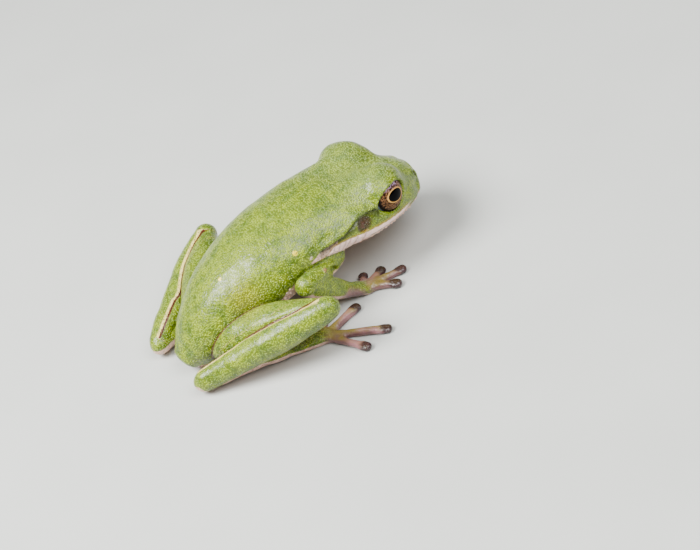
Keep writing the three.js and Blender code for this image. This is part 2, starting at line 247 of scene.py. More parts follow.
def loft(stations, across, bulge=1.0, steps=7, around=48):
    """Distances from a rounded form through stations x, y, z, half breadth, above, below."""
    rows = between_rows(stations, steps)
    centres, sizes = rows[:, :3], rows[:, 3:]
    along = np.gradient(centres, axis=0)
    along /= np.linalg.norm(along, axis=1)[:, None]
    dome = np.radians(np.arange(10, 90, 10))
    near_reach, far_reach = bulge * sizes[0].mean(), bulge * sizes[-1].mean()
    centres = np.vstack([
        centres[0] - np.outer(np.sin(dome[::-1]), along[0]) * near_reach,
        centres,
        centres[-1] + np.outer(np.sin(dome), along[-1]) * far_reach,
    ])
    sizes = np.vstack([
        np.outer(np.cos(dome[::-1]), sizes[0]), sizes, np.outer(np.cos(dome), sizes[-1]),
    ])
    along = np.vstack([np.tile(along[0], (8, 1)), along, np.tile(along[-1], (8, 1))])
    angles = np.arange(around) * 2 * np.pi / around
    points = []
    for centre, direction, (breadth, above, below) in zip(centres, along, sizes):
        sideways = unit(across - direction * np.dot(across, direction))
        upward = np.cross(direction, sideways)
        heights = np.where(np.sin(angles) > 0, above, below)
        points.append(
            centre
            + np.outer(breadth * np.cos(angles), sideways)
            + np.outer(heights * np.sin(angles), upward)
        )
    count = len(points)
    points = np.vstack(points + [
        centres[0] - along[0] * near_reach * 0.02, centres[-1] + along[-1] * far_reach * 0.02,
    ])
    ring = np.arange(around)
    after = (ring + 1) % around
    quads = np.vstack([
        np.stack([k + ring, k + after, k + around + after, k + around + ring], axis=1)
        for k in range(0, (count - 1) * around, around)
    ])
    last = (count - 1) * around
    near_pole = np.full(around, count * around)
    triangles = np.vstack([
        np.stack([near_pole, after, ring], axis=1),
        np.stack([near_pole + 1, last + ring, last + after], axis=1),
    ])
    grid = openvdb.FloatGrid.createLevelSetFromPolygons(
        points.astype(np.float32),
        triangles=triangles.astype(np.uint32),
        quads=quads.astype(np.uint32),
        transform=openvdb.createLinearTransform(VOXEL),
        halfWidth=REACH / VOXEL,
    )
    distances = np.empty(block_shape, np.float32)
    grid.copyToArray(distances, ijk=tuple(int(k) for k in block_low))
    return distances


def ball(centre, radii):
    """Distances from an ellipsoid, near enough for shapes this round."""
    radii = np.array(radii, float)
    distances = np.full(block_shape, REACH, np.float32)
    reach = radii + REACH
    cells, place = window(centre - reach, centre + reach)
    offset = [p - c for p, c in zip(place, centre)]
    scaled = np.sqrt(sum((o / r) ** 2 for o, r in zip(offset, radii)))
    slope = np.sqrt(sum((o / r ** 2) ** 2 for o, r in zip(offset, radii)))
    inside = scaled * (scaled - 1) / np.maximum(slope, 1e-6)
    distances[cells] = np.clip(inside, -REACH, REACH)
    return distances


def rod(points, radii, spread=REACH):
    """Cells near a bent rod of changing thickness, and their distances from it."""
    points = np.array(points, float)
    radii = np.broadcast_to(np.array(radii, float), (len(points),))
    cells, place = window(
        points.min(0) - radii.max() - spread, points.max(0) + radii.max() + spread
    )
    nearest = None
    for point, radius in zip(points, radii):
        away = np.sqrt(sum((p - c) ** 2 for p, c in zip(place, point))) - radius
        nearest = away if nearest is None else np.minimum(nearest, away)
    return cells, nearest.astype(np.float32)


def melt(first, second, soft):
    """Both shapes at once, with a fillet about as wide as `soft` where they meet."""
    overlap = np.maximum(soft - np.abs(first - second), 0) / soft
    return np.minimum(first, second) - overlap ** 2 * soft / 4


# Trunk and head. They share one smooth back, with no neck to speak of.
NECK_FILLET = 2.0


def turned(dip, turn, place):
    """Axes of the trunk or head: tipped down and turned left in degrees, from a place."""
    angles = (0, math.radians(dip), math.radians(turn))
    return np.array(Euler(angles, "XYZ").to_matrix()), np.array(place, float)


def at(axes, forward, left, up):
    return axes[1] + axes[0] @ np.array([forward, left, up], float)


trunk_axes = turned(-TRUNK_RISE, 0, (0, 0, VENT_HEIGHT))
head_axes = turned(HEAD_DIP, HEAD_TURN, at(trunk_axes, TRUNK_LENGTH, 0, 0))


def sectioned(sections, axes):
    stations = [(*at(axes, forward, 0, rise), *size) for forward, rise, *size in sections]
    return loft(stations, axes[0][:, 1], bulge=0.4)


trunk = sectioned(TRUNK_SECTIONS, trunk_axes)
head = sectioned(HEAD_SECTIONS, head_axes)
body = melt(trunk, head, NECK_FILLET)

# Eyelids and brows: fleshy domes on the corners of a flat crown.
EYE_RADIUS = 3.4
EYE_FORWARD, EYE_OUT, EYE_UP = 10.1, 6.6, 3.45
DOMES = [
    # ahead, out and above the eye's centre, then radii
    ((0.2, -1.25, 0.55), (4.2, 3.9, 3.8)),  # lid
    ((-2.8, -2.45, -0.3), (7.6, 3.6, 3.5)),  # brow
]
LID_FILLET, CROWN_FILLET = 1.2, 1.8
for side in (-1, 1):
    lid, brow = [
        ball(at(head_axes, EYE_FORWARD + ahead, side * (EYE_OUT + out), EYE_UP + above), radii)
        for (ahead, out, above), radii in DOMES
    ]
    body = melt(body, melt(lid, brow, LID_FILLET), CROWN_FILLET)

# Legs and arms. Sections: share of the way between joints, half breadth, above, below.
THIGH = [(-0.12, 2.8, 2.8, 2.4), (0.08, 3.6, 3.6, 3.4), (0.38, 3.9, 3.7, 3.5),
         (0.7, 3.1, 2.9, 2.8), (0.93, 2.0, 1.9, 1.8)]
SHANK = [(0.01, 2.0, 2.0, 2.0), (0.16, 2.5, 2.5, 2.4), (0.38, 2.8, 2.8, 2.6),
         (0.7, 2.4, 2.4, 2.2), (0.95, 1.9, 2.0, 1.9)]
TARSUS = [(0.02, 1.6, 1.6, 1.7), (0.2, 1.4, 1.4, 1.5), (0.45, 1.3, 1.2, 1.2),
          (0.64, 1.4, 1.1, 1.1)]
SOLE = [(0.6, 1.4, 1.1, 1.1), (0.8, 1.7, 1.0, 1.3), (1.0, 1.7, 0.8, 1.3)]
UPPER_ARM = [(-0.1, 2.0, 2.0, 2.0), (0.35, 2.2, 2.2, 2.2), (0.75, 2.1, 2.1, 2.1),
             (1.0, 1.9, 1.9, 1.9)]
FOREARM = [(0.0, 1.8, 1.9, 1.9), (0.25, 2.1, 2.1, 2.1), (0.6, 1.9, 1.9, 1.9),
           (0.95, 1.3, 1.3, 1.3)]
PALM = [(-0.1, 1.2, 1.1, 1.3), (0.45, 1.7, 0.9, 1.4), (1.0, 1.7, 0.7, 1.3)]
JOINTS = {
    # -1 is the frog's right side and 1 its left
    -1: dict(hip=(5.8, -3.8, 4.6), knee=(20.4, -18.9, 10.2), heel=(-1.5, -7.2, 2.3),
             sole=(19.6, -12.9, 1.0), shoulder=(27.4, -7.2, 9.2), elbow=(20.6, -10.8, 10.1),
             wrist=(28.1, -8.1, 2.3)),
    1: dict(hip=(5.8, 3.8, 4.6), knee=(17.5, 22.2, 6.1), heel=(-2.3, 7.3, 2.3),
            sole=(18.4, 12.4, 1.0), shoulder=(27.4, 7.2, 9.2), elbow=(20.9, 10.9, 9.6),
            wrist=(28.4, 8.4, 2.3)),
}
# Fillets: how far from the joint they reach, how wide they are there, and how wide where the
# parts only press together.
FILLETS = dict(
    hip=(2.4, 1.6, 0.25), knee=(2.0, 1.4, 0.2), heel=(2.2, 0.7, 0.3),
    shoulder=(2.6, 1.8, 0.3), elbow=(1.2, 0.5, 0.3), wrist=(1.8, 1.0, 0.3),
)
SOLE_FILLET, TOE_FILLET, WEB_FILLET, FINGER_FILLET = 1.2, 0.7, 0.5, 0.6
# Digits: bearing in degrees from straight ahead, length, and how far back the root lies.
TOES = [(-72, 4.6, 2.4), (-46, 6.6, 0.9), (-14, 8.8, 0.0), (41, 12.0, 0.0), (67, 9.8, 0.0)]
FINGERS = [(-58, 4.4, 0.9), (-24, 5.6, 0.2), (8, 7.6, 0.0), (40, 6.4, 0.2)]
DIGIT_HEIGHT = 0.6
DIGIT_RADIUS = 0.74
DISC_RADIUS = 0.95
PALM_LENGTH = 3.2
PALM_HEIGHT = 0.95
WEB_REACH, WEB_SAG, WEB_RADIUS = 0.5, 0.55, 0.24  # shares of a toe's length, then mm


def softness(joint, name):
    """Fillet width all over the block: tight, and wider near this joint of a leg or arm."""
    reach, wide, tight = FILLETS[name]
    point = np.array(joint[name])
    width = np.full(block_shape, tight, np.float32)
    cells, place = window(point - 2.5 * reach, point + 2.5 * reach)
    squared = sum((p - c) ** 2 for p, c in zip(place, joint[name]))
    width[cells] += (wide - tight) * np.exp(-squared / reach ** 2)
    return width


def limb(start, end, sections):
    start, end = np.array(start, float), np.array(end, float)
    stations = [(*(start + (end - start) * share), *size) for share, *size in sections]
    return loft(stations, unit(np.cross((0, 0, 1), end - start)))


def digit_line(root, side, bearing, length, back):
    """Root and tip of one digit of a hand or foot."""
    angle = side * math.radians(bearing)
    start = np.array([root[0] - back * 0.9, root[1] - side * back * 0.35, DIGIT_HEIGHT])
    way = np.array([math.cos(angle), math.sin(angle), 0])
    return start, start + way * (length - DISC_RADIUS)


def digit(start, tip):
    r = DIGIT_RADIUS
    return limb(start, tip, [
        (-0.05, r * 1.25, r * 1.1, r * 1.1), (0.35, r, r, r), (0.72, r * 0.92, r * 0.85, r),
        (0.9, DISC_RADIUS, r * 0.8, r), (1.0, DISC_RADIUS, r * 0.75, r),
    ])


def web(first, second):
    """A thin sheet of skin between two toes, its free edge drawn in."""
    points = []
    for share in np.linspace(0, WEB_REACH, 14):
        ends = [line[0] + (line[1] - line[0]) * share for line in (first, second)]
        for t in np.linspace(0, 1, 12):
            sag = 1 - WEB_SAG * math.sin(math.pi * t)
            on_edge = [line[0] + (line[1] - line[0]) * share * sag for line in (first, second)]
            points.append(on_edge[0] * (1 - t) + on_edge[1] * t)
    return rod(points, WEB_RADIUS, spread=1.0)


flesh = body
thighs, shanks, feet, arms, digit_lines = {}, {}, {}, {}, []
for side, joint in JOINTS.items():
    thigh = limb(joint["hip"], joint["knee"], THIGH)
    shank = limb(joint["knee"], joint["heel"], SHANK)
    thighs[side], shanks[side] = thigh, shank
    flesh = melt(flesh, thigh, softness(joint, "hip"))
    flesh = melt(flesh, shank, softness(joint, "knee"))
    tarsus = limb(joint["heel"], joint["sole"], TARSUS)
    foot = melt(tarsus, limb(joint["heel"], joint["sole"], SOLE), SOLE_FILLET)
    toe_lines = [digit_line(joint["sole"], side, *toe) for toe in TOES]
    for line in toe_lines:
        foot = melt(foot, digit(*line), TOE_FILLET)
    for first, second in zip(toe_lines[1:], toe_lines[2:]):
        cells, sheet = web(first, second)
        foot[cells] = melt(foot[cells], sheet, WEB_FILLET)
    feet[side] = foot
    flesh = melt(flesh, foot, softness(joint, "heel"))
    palm_end = np.array([
        joint["wrist"][0] + PALM_LENGTH, joint["wrist"][1] + side * 0.2, PALM_HEIGHT,
    ])
    hand = limb(joint["wrist"], palm_end, PALM)
    finger_lines = [digit_line(palm_end, side, *finger) for finger in FINGERS]
    for line in finger_lines:
        hand = melt(hand, digit(*line), FINGER_FILLET)
    upper_arm = limb(joint["shoulder"], joint["elbow"], UPPER_ARM)
    forearm = limb(joint["elbow"], joint["wrist"], FOREARM)
    arm = melt(upper_arm, forearm, softness(joint, "elbow"))
    arm = melt(arm, hand, softness(joint, "wrist"))
    arms[side] = arm
    flesh = melt(flesh, arm, softness(joint, "shoulder"))
    digit_lines += toe_lines + finger_lines

plain = flesh.copy()

# Creases where parts press together, and a small swelling in the fold of each elbow.
# Places on the left side, mirrored on the right (mm, from a point under the vent).
ELBOW_BUMP = (24.6, 10.8, 10.7)
ELBOW_NOTCH = [(26.6, 9.4, 8.4), (25.9, 11.6, 10.3), (25.6, 12.4, 10.9)]
ELBOW_BUMP_RADIUS, ELBOW_NOTCH_RADIUS = 0.42, 0.8
# Depth and width of each crease, and how far from its joint it starts.
LEG_CREASE, GROIN_CREASE, FOOT_CREASE, ARM_CREASE = (
    (0.3, 0.22), (0.22, 0.22), (0.25, 0.2), (0.35, 0.3)
)
CREASE_STARTS = dict(knee=2.0, heel=2.4, shoulder=3.2)
PRESSED_TO = 1.1  # parts farther apart than this don't crease


def pressed(first, second, deep, wide):
    """A groove where two parts meet, and none where either is out of reach."""
    near = np.clip((PRESSED_TO - np.maximum(first, second)) / 0.5, 0, 1)
    return near * deep * np.exp(-(((first - second) / wide) ** 2))


def beyond(joint, name, place):
    """0 close to a joint, rising to 1 where its crease starts."""
    reach = np.sqrt(sum((p - k) ** 2 for p, k in zip(place, joint[name])))
    return np.clip((reach - CREASE_STARTS[name]) / 1.2, 0, 1)


for side, joint in JOINTS.items():
    low = np.minimum(np.minimum(joint["knee"], joint["heel"]), joint["hip"]) - 6
    high = np.maximum(np.maximum(joint["knee"], joint["heel"]), joint["hip"]) + 6
    cells, place = window(low, high)
    thigh, shank = thighs[side][cells], shanks[side][cells]
    flesh[cells] += beyond(joint, "knee", place) * pressed(
        np.minimum(thigh, body[cells]), shank, *LEG_CREASE
    )
    flesh[cells] += pressed(body[cells], thigh, *GROIN_CREASE)
    flesh[cells] += beyond(joint, "heel", place) * pressed(
        feet[side][cells], shank, *FOOT_CREASE
    )
    low = np.minimum(joint["shoulder"], joint["elbow"]) - 5
    cells, place = window(low, np.maximum(joint["shoulder"], joint["elbow"]) + 5)
    flesh[cells] += beyond(joint, "shoulder", place) * pressed(
        body[cells], arms[side][cells], *ARM_CREASE
    )
    notch = np.array([(p[0], side * p[1], p[2]) for p in ELBOW_NOTCH])
    notch = np.concatenate([notch[0] + (notch[1:] - notch[0]) * t for t in np.linspace(0, 1, 9)])
    cells, hollow = rod(notch, ELBOW_NOTCH_RADIUS)
    flesh[cells] = -melt(-flesh[cells], hollow, 0.4)
    bump_place = (ELBOW_BUMP[0], side * ELBOW_BUMP[1], ELBOW_BUMP[2])
    flesh = melt(flesh, ball(bump_place, [ELBOW_BUMP_RADIUS] * 3), 0.3)

# Head details, drawn in the head's own axes: forward, left, up.
head_cells, head_place = window(at(head_axes, 8, 0, 0) - 19, at(head_axes, 8, 0, 0) + 19)
head_offset = [p - c for p, c in zip(head_place, head_axes[1])]
forward, left, up = [
    sum(o * a for o, a in zip(head_offset, head_axes[0][:, k])) for k in range(3)
]
out = np.abs(left)

# Heights along the side of the head, each as forward, up: the top of the pale lip, the
# slit of the mouth under it, and the fold of skin from the eye over the eardrum.
LIP_TOP = [(-4.5, -2.6), (-3.1, -2.0), (-2.0, -0.95), (1.0, -0.3), (3.3, 0.0), (17.0, 0.15),
           (19.5, -0.1)]
MOUTH_LINE = [(-4.5, -1.95), (-2.7, -2.2), (-0.9, -2.6), (1.0, -2.9), (2.6, -2.5),
              (5.0, -1.4), (9.5, -0.95), (14.0, -0.7), (19.5, -0.75)]
EAR_FOLD = [(-4.4, -0.95), (-3.1, -0.7), (-1.4, -0.2), (0.3, 0.5), (1.2, 1.2), (2.3, 1.9),
            (3.5, 2.5), (5.1, 2.65), (6.7, 2.6), (8.0, 2.4)]
NOSTRIL = (18.5, 3.1, 2.5)
LIP_WRINKLES = (-1.7, -0.6, 0.5, 1.3, 2.6, 4.1)
EARDRUM = (4.1, 1.2)  # forward, up
EARDRUM_RADII = (1.55, 1.2)
EARDRUM_TILT = 20.0  # degrees, front end up
CANTHUS = (12.8, 6.9, 4.3)  # the ridge's end at the eye: forward, out, up
# How deep or high each form is, and how wide (mm, or radii of the eardrum).
MOUTH_GROOVE, LIP_RISE, WRINKLE_DEPTH = (0.30, 0.14), 0.18, 0.24
FOLD_RIDGE, FOLD_GROOVE = (0.30, 0.6), (0.26, 0.26)
EARDRUM_RIM, EARDRUM_DISH = (0.13, 0.14), 0.14
NOSTRIL_RIM, NOSTRIL_PIT = (0.22, 0.42), (0.75, 0.36)
CANTHUS_RIDGE, CHEEK_HOLLOW = (0.26, 0.9), (0.30, 1.2)


def height_along(line, forward):
    return np.interp(forward, [point[0] for point in line], [point[1] for point in line])


def span(value, start, end, fade=0.6):
    """1 between two limits, fading to 0 past them."""
    return np.clip((value - start) / fade + 1, 0, 1) * np.clip((end - value) / fade + 1, 0, 1)


def hill(value, width):
    return np.exp(-((value / width) ** 2))


def wrinkles(forward, below_lip_top):
    """Short upright creases in the lip, at the corner of the jaw."""
    lines = [hill(forward - place + 0.3 * below_lip_top, 0.13) for place in LIP_WRINKLES]
    return np.maximum.reduce(lines)


def eardrum_radius(forward, up):
    """Distance from the eardrum's centre, 1 at its rim."""
    turn = math.radians(EARDRUM_TILT)
    ahead, above = forward - EARDRUM[0], up - EARDRUM[1]
    lengthwise = ahead * math.cos(turn) + above * math.sin(turn)
    crosswise = above * math.cos(turn) - ahead * math.sin(turn)
    return np.sqrt((lengthwise / EARDRUM_RADII[0]) ** 2 + (crosswise / EARDRUM_RADII[1]) ** 2)


on_side = np.clip((out - 3.0) / 2.0, 0, 1)
above_mouth = up - height_along(MOUTH_LINE, forward)
below_lip_top = height_along(LIP_TOP, forward) - up
below_fold = height_along(EAR_FOLD, forward) - up
carved = flesh[head_cells]
carved += MOUTH_GROOVE[0] * hill(above_mouth, MOUTH_GROOVE[1]) * span(forward, 1.0, 15.5, 1.2)
lip = np.clip(above_mouth / 0.3, 0, 1) * np.clip(below_lip_top / 0.3 + 0.4, 0, 1)
carved -= LIP_RISE * lip * span(forward, -3, 14.0, 1.5)
carved += WRINKLE_DEPTH * wrinkles(forward, below_lip_top) * lip * on_side
on_fold = span(forward, -4, 7.0, 1.0) * on_side
carved -= FOLD_RIDGE[0] * hill(below_fold + 0.55, FOLD_RIDGE[1]) * on_fold
carved += FOLD_GROOVE[0] * hill(below_fold - 0.12, FOLD_GROOVE[1]) * on_fold
ear = eardrum_radius(forward, up)
on_ear = np.clip((out - 7.5) / 0.5, 0, 1)
carved -= EARDRUM_RIM[0] * hill(ear - 1.0, EARDRUM_RIM[1]) * on_ear
carved += EARDRUM_DISH * np.clip((0.95 - ear) / 0.2, 0, 1) * on_ear
from_nostril = np.sqrt(
    (forward - NOSTRIL[0]) ** 2 + (out - NOSTRIL[1]) ** 2 + (up - NOSTRIL[2]) ** 2
)
carved -= NOSTRIL_RIM[0] * hill(from_nostril - 0.75, NOSTRIL_RIM[1])
carved += NOSTRIL_PIT[0] * hill(from_nostril, NOSTRIL_PIT[1])
# The canthus, a soft ridge from the eye to the nostril, with a hollow cheek under it.
canthus = np.clip((forward - CANTHUS[0]) / (NOSTRIL[0] - CANTHUS[0]), 0, 1)
ridge_out = CANTHUS[1] + (NOSTRIL[1] - CANTHUS[1]) * canthus
ridge_up = CANTHUS[2] + (NOSTRIL[2] + 0.3 - CANTHUS[2]) * canthus
from_ridge = np.sqrt((out - ridge_out) ** 2 + (up - ridge_up) ** 2)
from_cheek = np.sqrt((out - ridge_out - 0.7) ** 2 + (up - ridge_up + 2.2) ** 2)
on_snout = span(forward, 13.2, 18.6, 1.0)
carved -= CANTHUS_RIDGE[0] * hill(from_ridge, CANTHUS_RIDGE[1]) * on_snout
carved += CHEEK_HOLLOW[0] * hill(from_cheek, CHEEK_HOLLOW[1]) * on_snout
flesh[head_cells] = carved

# Eye openings. The lids are a thin shell over each eyeball, open along an oval slit that
# flares outward, so that its edge lies on the eye.
LID_THICKNESS = 0.4
OPENING = (3.05, 2.5)  # half length and half height of the slit
LID_EDGE = 0.22  # radius of the rounded edge round the slit
OPENING_TURN = (16.4, -0.4, 17.4)  # degrees: forward, up, and the slit's front end raised
GAZE_TURN = (14.0, 11.6, 8.7)  # degrees, for the pupil in the same way


def looking(side, forward_turn, up_turn, roll):
    """Lengthwise, upward and outward directions of an eye that is turned this way."""
    turn, lift, roll = (math.radians(a) for a in (forward_turn, up_turn, roll))
    outward = np.array([
        math.sin(turn) * math.cos(lift), side * math.cos(turn) * math.cos(lift), math.sin(lift),
    ])
    level = unit(np.array([1.0, 0, 0]) - outward * outward[0])
    raised = np.cross(level, outward) * side * -1
    raised = raised if raised[2] > 0 else -raised
    slit = level * math.cos(roll) + raised * math.sin(roll)
    high = raised * math.cos(roll) - level * math.sin(roll)
    return [head_axes[0] @ axis for axis in (slit, high, outward)]


def eye_centre(side):
    return at(head_axes, EYE_FORWARD, side * EYE_OUT, EYE_UP)


def slit_distance(side, place):
    """Distance outside the oval slit, and outward from the eye's centre."""
    offset = [p - c for p, c in zip(place, eye_centre(side))]
    axes = looking(side, *OPENING_TURN)
    along, high, outward = [sum(o * a for o, a in zip(offset, axis)) for axis in axes]
    depth = np.sqrt(sum(o ** 2 for o in offset)) - EYE_RADIUS
    flare = 1 + 0.22 * np.maximum(depth, 0)
    oval = np.sqrt((along / OPENING[0]) ** 2 + (high / OPENING[1]) ** 2)
    return (oval - flare) * OPENING[1], outward, depth


for side in (-1, 1):
    centre = eye_centre(side)
    flesh = melt(flesh, ball(centre, [EYE_RADIUS + LID_THICKNESS] * 3), 0.5)
    cells, place = window(centre - 6.0, centre + 6.0)
    oval, outward, depth = slit_distance(side, place)
    opened = np.maximum(flesh[cells], -np.maximum(oval, 0.3 - outward))
    turn = np.linspace(0, 2 * np.pi, 100, endpoint=False)
    ring_along = (OPENING[0] + LID_EDGE) * np.cos(turn)
    ring_high = (OPENING[1] + LID_EDGE) * np.sin(turn)
    ring_out = np.sqrt((EYE_RADIUS + 0.14) ** 2 - ring_along ** 2 - ring_high ** 2)
    ring = centre + np.stack([ring_along, ring_high, ring_out], 1) @ np.array(
        looking(side, *OPENING_TURN)
    )
    flesh[cells] = opened
    rim_cells, rim = rod(ring, LID_EDGE, spread=1.2)
    flesh[rim_cells] = melt(flesh[rim_cells], rim, 0.3)
    flesh[cells] = np.maximum(flesh[cells], -(depth - 0.02))

# Living flesh is never quite even: low swellings, and finer puckers between them.
SWELLING = [(1.3, 0.045, 3), (0.5, 0.018, 7)]  # width and height (mm), seed
waves = [np.fft.fftfreq(n, VOXEL) for n in block_shape[:2]]
waves += [np.fft.rfftfreq(block_shape[2], VOXEL)]
squared_wave = sum(w ** 2 for w in np.meshgrid(*waves, indexing="ij", sparse=True))
for width, rise, seed in SWELLING:
    noise = np.random.default_rng(seed).standard_normal(block_shape).astype(np.float32)
    spectrum = np.fft.rfftn(noise) * np.exp(-2 * (math.pi * width) ** 2 * squared_wave)
    smooth = np.fft.irfftn(spectrum, s=block_shape)
    flesh += (rise / smooth.std() * smooth).astype(np.float32)

# The frog rests on small flats, where its belly, feet and hands press on the floor.
FLOOR_LAYER = ((-9, -30, -3), (60, 30, 1))  # mm, its opposite corners
cells, place = window(*FLOOR_LAYER)
flesh[cells] = np.maximum(flesh[cells], -place[2])

# The skin's surface is drawn where the distance is nought, and thinned evenly.
SKIN_TRIANGLES = 190000
skin_grid = openvdb.FloatGrid(REACH)
skin_grid.transform = openvdb.createLinearTransform(VOXEL)
skin_grid.copyFromArray(flesh, ijk=tuple(int(k) for k in block_low))
surface, triangles, quads = skin_grid.convertToPolygons(isovalue=0.0, adaptivity=0.0)
surface[:, 2] = np.maximum(surface[:, 2], 0)
drawn = bpy.data.meshes.new("skin_drawn")
drawn.from_pydata(
    ((surface - ORIGIN) * MM).tolist(), [], quads.tolist() + triangles.tolist()
)
skin = bpy.data.objects.new("skin", drawn)
bpy.context.scene.collection.objects.link(skin)
thinning = skin.modifiers.new("thinning", "DECIMATE")
thinning.ratio = min(1.0, SKIN_TRIANGLES / (2 * len(quads) + len(triangles)))
evaluated = skin.evaluated_get(bpy.context.evaluated_depsgraph_get())
skin_mesh = bpy.data.meshes.new_from_object(evaluated)
skin.modifiers.remove(thinning)
skin.data = skin_mesh
skin_mesh.name = "skin"
skin_mesh.shade_smooth()

# Where each marking lies, kept on the skin's points for its material.
corners = np.empty(len(skin_mesh.vertices) * 3, np.float32)
skin_mesh.vertices.foreach_get("co", corners)
corners[2::3] = np.maximum(corners[2::3], 0)
skin_mesh.vertices.foreach_set("co", corners)
spots_on_skin = corners.reshape(-1, 3) / MM + ORIGIN


def sample(distances, points):
    """Values of the block at these points, blended between cells."""
    cell = points / VOXEL - block_low
    whole = np.clip(np.floor(cell).astype(int), 0, np.array(block_shape) - 2)
    part = cell - whole
    total = np.zeros(len(points))
    for corner in np.ndindex(2, 2, 2):
        weight = np.prod(np.where(corner, part, 1 - part), axis=1)
        total += weight * distances[tuple((whole + corner).T)]
    return total


def in_axes(axes, points):
    return ((points - axes[1]) @ axes[0]).T


def smoothly(value, start, end):
    t = np.clip((value - start) / (end - start), 0, 1)
    return t * t * (3 - 2 * t)


def mark(name, values):
    attribute = skin_mesh.attributes.new(name, "FLOAT", "POINT")
    attribute.data.foreach_set("value", np.asarray(values, np.float32))


STEP = 0.6  # mm, to find which way the plain form faces
facing = np.stack([
    sample(plain, spots_on_skin + STEP * axis) - sample(plain, spots_on_skin - STEP * axis)
    for axis in np.eye(3)
], axis=1)
facing /= np.maximum(np.linalg.norm(facing, axis=1), 1e-6)[:, None]
on_right = spots_on_skin[:, 1] < ORIGIN[1]
from_body = sample(body, spots_on_skin)

# Cream: the belly up to a line along the flank, and the undersides of the limbs.
BELLY_LINE = [(0, -1.6), (8, -1.9), (14, -1.0), (17, 0.1), (20, 1.0), (23, 1.6), (27, 1.6),
              (31, 0.5)]  # forward, up
trunk_forward, _, trunk_up = in_axes(trunk_axes, spots_on_skin)
head_forward, head_left, head_up = in_axes(head_axes, spots_on_skin)
below_belly_line = height_along(BELLY_LINE, trunk_forward) - trunk_up
under_jaw = height_along(MOUTH_LINE, head_forward) - head_up
body_under = np.where(
    head_forward > -1.0, smoothly(under_jaw, -0.1, 0.5), smoothly(below_belly_line, -0.3, 0.5)
)
gaps = {"body": from_body}
for name, parts in (("thigh", thighs), ("shank", shanks), ("foot", feet), ("arm", arms)):
    gaps[name] = np.minimum(sample(parts[-1], spots_on_skin), sample(parts[1], spots_on_skin))
gaps["arm"] = gaps["arm"] - 0.7  # an arm's root counts as arm, though it is sunk in the chest
owner = np.argmin(np.stack(list(gaps.values())), axis=0)
downward = -facing[:, 2]
pale_by_part = [
    body_under,
    smoothly(downward, 0.5, 0.85),  # thighs
    smoothly(downward, 0.62, 0.9),  # shanks
    smoothly(downward, -0.3, 0.2),  # feet
    smoothly(downward, 0.25, 0.65),  # arms
]
from_notch = np.minimum(*(
    np.linalg.norm(spots_on_skin - np.array(ELBOW_NOTCH[1]) * (1, side, 1), axis=1)
    for side in (-1, 1)
))
pale_by_part[4] *= smoothly(from_notch, 3.2, 4.4)  # the inside of the elbow is green
mark("pale", np.choose(owner, pale_by_part))
mark("upward", facing[:, 2])
off_floor = smoothly(spots_on_skin[:, 2], 0.4, 0.8)
mark("granular", (owner == 0) * smoothly(downward, 0.0, 0.4) * body_under * off_floor)

# Digits: 0 on the body, rising to 1 at the root of a toe or finger and 2 at its tip.
digit_share = np.zeros(len(spots_on_skin))
from_tip = np.full(len(spots_on_skin), 9.0)
for start, tip in digit_lines:
    way = tip - start
    share = (spots_on_skin - start) @ way / (way @ way)
    nearest = start + np.clip(share, 0, 1)[:, None] * way
    away = np.linalg.norm(spots_on_skin - nearest, axis=1)
    here = np.where(share > 0, 1 + np.clip(share, 0, 1), 1) - np.maximum(away - 1.0, 0) / 2.2
    digit_share = np.maximum(digit_share, here)
    from_tip = np.minimum(from_tip, np.linalg.norm(spots_on_skin - tip, axis=1))
mark("digit", np.clip(digit_share, 0, 2))
mark("from_tip", from_tip)

# Creases, as a distance to one side or the other. 2 mm is well away from them. Towards the
# heel, past the thigh, the line keeps its place round the shank.
leg_line, flank_crease_shade = np.full((2, len(spots_on_skin)), 2.0)
LEG_LINE_START = 0.02  # share of the shank from the heel
LEAVING_THIGH = (0.32, 0.45)  # the shares between which the line leaves the thigh
for side, joint in JOINTS.items():
    here = on_right if side < 0 else ~on_right
    thigh_gap = sample(thighs[side], spots_on_skin)
    shank_gap = sample(shanks[side], spots_on_skin)
    from_knee = np.linalg.norm(spots_on_skin - np.array(joint["knee"]), axis=1)
    legs = here & (from_knee > 2.2) & (np.maximum(thigh_gap, shank_gap) < PRESSED_TO)
    across = np.stack([
        sample(thighs[side] - shanks[side], spots_on_skin[legs] + STEP / 2 * axis)
        - sample(thighs[side] - shanks[side], spots_on_skin[legs] - STEP / 2 * axis)
        for axis in np.eye(3)
    ], axis=1) / STEP
    across -= facing[legs] * np.sum(across * facing[legs], axis=1)[:, None]
    steepness = np.maximum(np.linalg.norm(across, axis=1), 0.5)
    leg_line[legs] = np.clip((thigh_gap - shank_gap)[legs] / steepness, -2, 2)
    heel, knee = np.array(joint["heel"]), np.array(joint["knee"])
    share = (spots_on_skin - heel) @ (knee - heel) / np.sum((knee - heel) ** 2)
    aside = spots_on_skin - heel - share[:, None] * (knee - heel)
    seen = legs & (facing[:, 2] > 0) & (np.abs(leg_line) < 0.3) & (share > 0.4) & (share < 0.6)
    outward = aside[seen].mean(axis=0)
    turn = np.cross(knee - heel, outward)
    turn *= np.sign(np.sum((aside[seen] @ turn) * leg_line[seen])) / np.linalg.norm(turn)
    free = here & (shank_gap < 0.5) & (aside @ outward > 0)
    free &= (share > LEG_LINE_START) & (share < LEAVING_THIGH[1])
    kept = smoothly(share[free], *LEAVING_THIGH)
    leg_line[free] = leg_line[free] * kept + (aside[free] @ turn) * (1 - kept)
    # Along the crease where the thigh presses on the flank: where a painted shade line goes.
    flank = here & (np.maximum(thigh_gap, from_body) < PRESSED_TO)
    flank_crease_shade[flank] = (from_body - thigh_gap)[flank]
mark("leg_line", leg_line)
mark("flank_crease_shade", flank_crease_shade)

